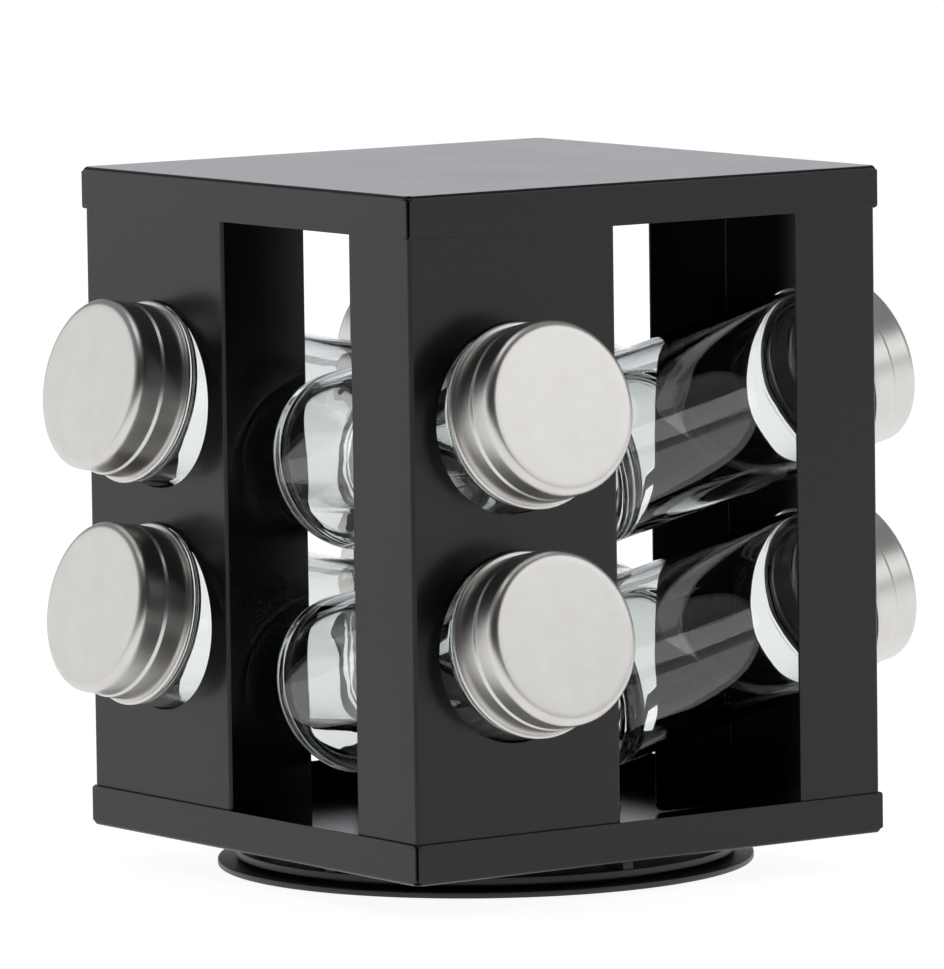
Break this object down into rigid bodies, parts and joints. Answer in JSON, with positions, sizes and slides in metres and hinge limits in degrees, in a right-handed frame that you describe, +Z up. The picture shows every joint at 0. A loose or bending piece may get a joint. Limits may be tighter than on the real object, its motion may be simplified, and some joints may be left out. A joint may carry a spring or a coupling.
{
  "type": "spice carousel",
  "caption": "Square black steel rack on a ball-bearing turntable, with tilted screw-cap glass spice jars held in round holes on all four sides.",
  "frame": {"origin": "on the surface the carousel stands on, under the turntable's centre", "axes": "+Z up; each side face looks along -Y, +X, +Y or -X, and the column of the -Y face is on its -X side"},
  "size_m": [0.199, 0.199, 0.184],
  "materials": {
    "painted_steel": "satin black powder coat",
    "stainless": "satin",
    "glass": "clear gloss",
    "liner_foam": "matt",
    "black_plastic": "moulded satin",
    "cage_plastic": "natural nylon",
    "bearing_steel": "polished",
    "zinc_steel": "zinc plated",
    "rubber": "matt"
  },
  "bodies": {
    "base": {"turntable_base": "black_plastic", "rubber_foot_1": "rubber", "rubber_foot_2": "rubber", "rubber_foot_3": "rubber", "rubber_foot_4": "rubber", "pivot_washer": "zinc_steel", "pivot_screw": "zinc_steel"},
    "rack": {"base_tray": "painted_steel", "top_cover": "painted_steel", "column_1": "painted_steel", "column_2": "painted_steel", "column_3": "painted_steel", "column_4": "painted_steel", "turntable_top": "black_plastic", "tray_screw_1": "zinc_steel", "tray_screw_2": "zinc_steel", "tray_screw_3": "zinc_steel", "tray_screw_4": "zinc_steel"},
    "cage": {"ball_cage": "cage_plastic", "bearing_ball_1": "bearing_steel", "bearing_ball_2": "bearing_steel", "bearing_ball_3": "bearing_steel", "bearing_ball_4": "bearing_steel", "bearing_ball_5": "bearing_steel", "bearing_ball_6": "bearing_steel", "bearing_ball_7": "bearing_steel", "bearing_ball_8": "bearing_steel"},
    "jar_1": {"jar_1": "glass"},
    "liner_1": {"cap_liner_1": "liner_foam"},
    "cap_1": {"jar_cap_1": "stainless"},
    "jar_2": {"jar_2": "glass"},
    "liner_2": {"cap_liner_2": "liner_foam"},
    "cap_2": {"jar_cap_2": "stainless"},
    "jar_3": {"jar_3": "glass"},
    "liner_3": {"cap_liner_3": "liner_foam"},
    "cap_3": {"jar_cap_3": "stainless"},
    "jar_4": {"jar_4": "glass"},
    "liner_4": {"cap_liner_4": "liner_foam"},
    "cap_4": {"jar_cap_4": "stainless"},
    "jar_5": {"jar_5": "glass"},
    "liner_5": {"cap_liner_5": "liner_foam"},
    "cap_5": {"jar_cap_5": "stainless"},
    "jar_6": {"jar_6": "glass"},
    "liner_6": {"cap_liner_6": "liner_foam"},
    "cap_6": {"jar_cap_6": "stainless"},
    "jar_7": {"jar_7": "glass"},
    "liner_7": {"cap_liner_7": "liner_foam"},
    "cap_7": {"jar_cap_7": "stainless"},
    "jar_8": {"jar_8": "glass"},
    "liner_8": {"cap_liner_8": "liner_foam"},
    "cap_8": {"jar_cap_8": "stainless"}
  },
  "joints": [
    {"name": "rack_spin", "type": "hinge", "parent": "base", "child": "rack", "pos_m": [0, 0, 0.009], "axis": [0, 0, 1], "continuous": true},
    {"name": "cage_spin", "type": "hinge", "parent": "base", "child": "cage", "pos_m": [0, 0, 0.003], "axis": [0, 0, 1], "continuous": true},
    {"name": "jar_1_slide", "type": "slide", "parent": "rack", "child": "jar_1", "axis": [0, -0.9769, 0.2139], "range_m": [0, 0.1]},
    {"name": "cap_1_lift", "type": "slide", "parent": "jar_1", "child": "liner_1", "axis": [0, -0.9769, 0.2139], "range_m": [0, 0.00525]},
    {"name": "cap_1_turn", "type": "hinge", "parent": "liner_1", "child": "cap_1", "pos_m": [-0.042, -0.0741, 0.1257], "axis": [0, -0.9769, 0.2139], "range_deg": [0, 450]},
    {"name": "jar_2_slide", "type": "slide", "parent": "rack", "child": "jar_2", "axis": [0, -0.9769, 0.2139], "range_m": [0, 0.1]},
    {"name": "cap_2_lift", "type": "slide", "parent": "jar_2", "child": "liner_2", "axis": [0, -0.9769, 0.2139], "range_m": [0, 0.00525]},
    {"name": "cap_2_turn", "type": "hinge", "parent": "liner_2", "child": "cap_2", "pos_m": [-0.042, -0.0741, 0.0673], "axis": [0, -0.9769, 0.2139], "range_deg": [0, 450]},
    {"name": "jar_3_slide", "type": "slide", "parent": "rack", "child": "jar_3", "axis": [0.9769, 0, 0.2139], "range_m": [0, 0.1]},
    {"name": "cap_3_lift", "type": "slide", "parent": "jar_3", "child": "liner_3", "axis": [0.9769, 0, 0.2139], "range_m": [0, 0.00525]},
    {"name": "cap_3_turn", "type": "hinge", "parent": "liner_3", "child": "cap_3", "pos_m": [0.0741, -0.042, 0.1257], "axis": [0.9769, 0, 0.2139], "range_deg": [0, 450]},
    {"name": "jar_4_slide", "type": "slide", "parent": "rack", "child": "jar_4", "axis": [0.9769, 0, 0.2139], "range_m": [0, 0.1]},
    {"name": "cap_4_lift", "type": "slide", "parent": "jar_4", "child": "liner_4", "axis": [0.9769, 0, 0.2139], "range_m": [0, 0.00525]},
    {"name": "cap_4_turn", "type": "hinge", "parent": "liner_4", "child": "cap_4", "pos_m": [0.0741, -0.042, 0.0673], "axis": [0.9769, 0, 0.2139], "range_deg": [0, 450]},
    {"name": "jar_5_slide", "type": "slide", "parent": "rack", "child": "jar_5", "axis": [0, 0.9769, 0.2139], "range_m": [0, 0.1]},
    {"name": "cap_5_lift", "type": "slide", "parent": "jar_5", "child": "liner_5", "axis": [0, 0.9769, 0.2139], "range_m": [0, 0.00525]},
    {"name": "cap_5_turn", "type": "hinge", "parent": "liner_5", "child": "cap_5", "pos_m": [0.042, 0.0741, 0.1257], "axis": [0, 0.9769, 0.2139], "range_deg": [0, 450]},
    {"name": "jar_6_slide", "type": "slide", "parent": "rack", "child": "jar_6", "axis": [0, 0.9769, 0.2139], "range_m": [0, 0.1]},
    {"name": "cap_6_lift", "type": "slide", "parent": "jar_6", "child": "liner_6", "axis": [0, 0.9769, 0.2139], "range_m": [0, 0.00525]},
    {"name": "cap_6_turn", "type": "hinge", "parent": "liner_6", "child": "cap_6", "pos_m": [0.042, 0.0741, 0.0673], "axis": [0, 0.9769, 0.2139], "range_deg": [0, 450]},
    {"name": "jar_7_slide", "type": "slide", "parent": "rack", "child": "jar_7", "axis": [-0.9769, 0, 0.2139], "range_m": [0, 0.1]},
    {"name": "cap_7_lift", "type": "slide", "parent": "jar_7", "child": "liner_7", "axis": [-0.9769, 0, 0.2139], "range_m": [0, 0.00525]},
    {"name": "cap_7_turn", "type": "hinge", "parent": "liner_7", "child": "cap_7", "pos_m": [-0.0741, 0.042, 0.1257], "axis": [-0.9769, 0, 0.2139], "range_deg": [0, 450]},
    {"name": "jar_8_slide", "type": "slide", "parent": "rack", "child": "jar_8", "axis": [-0.9769, 0, 0.2139], "range_m": [0, 0.1]},
    {"name": "cap_8_lift", "type": "slide", "parent": "jar_8", "child": "liner_8", "axis": [-0.9769, 0, 0.2139], "range_m": [0, 0.00525]},
    {"name": "cap_8_turn", "type": "hinge", "parent": "liner_8", "child": "cap_8", "pos_m": [-0.0741, 0.042, 0.0673], "axis": [-0.9769, 0, 0.2139], "range_deg": [0, 450]}
  ],
  "couplings": [
    {"joint": "cage_spin", "follows": "rack_spin", "ratio": 0.5},
    {"joint": "cap_1_lift", "follows": "cap_1_turn", "m_per_rad": 0.00066845},
    {"joint": "cap_2_lift", "follows": "cap_2_turn", "m_per_rad": 0.00066845},
    {"joint": "cap_3_lift", "follows": "cap_3_turn", "m_per_rad": 0.00066845},
    {"joint": "cap_4_lift", "follows": "cap_4_turn", "m_per_rad": 0.00066845},
    {"joint": "cap_5_lift", "follows": "cap_5_turn", "m_per_rad": 0.00066845},
    {"joint": "cap_6_lift", "follows": "cap_6_turn", "m_per_rad": 0.00066845},
    {"joint": "cap_7_lift", "follows": "cap_7_turn", "m_per_rad": 0.00066845},
    {"joint": "cap_8_lift", "follows": "cap_8_turn", "m_per_rad": 0.00066845}
  ]
}
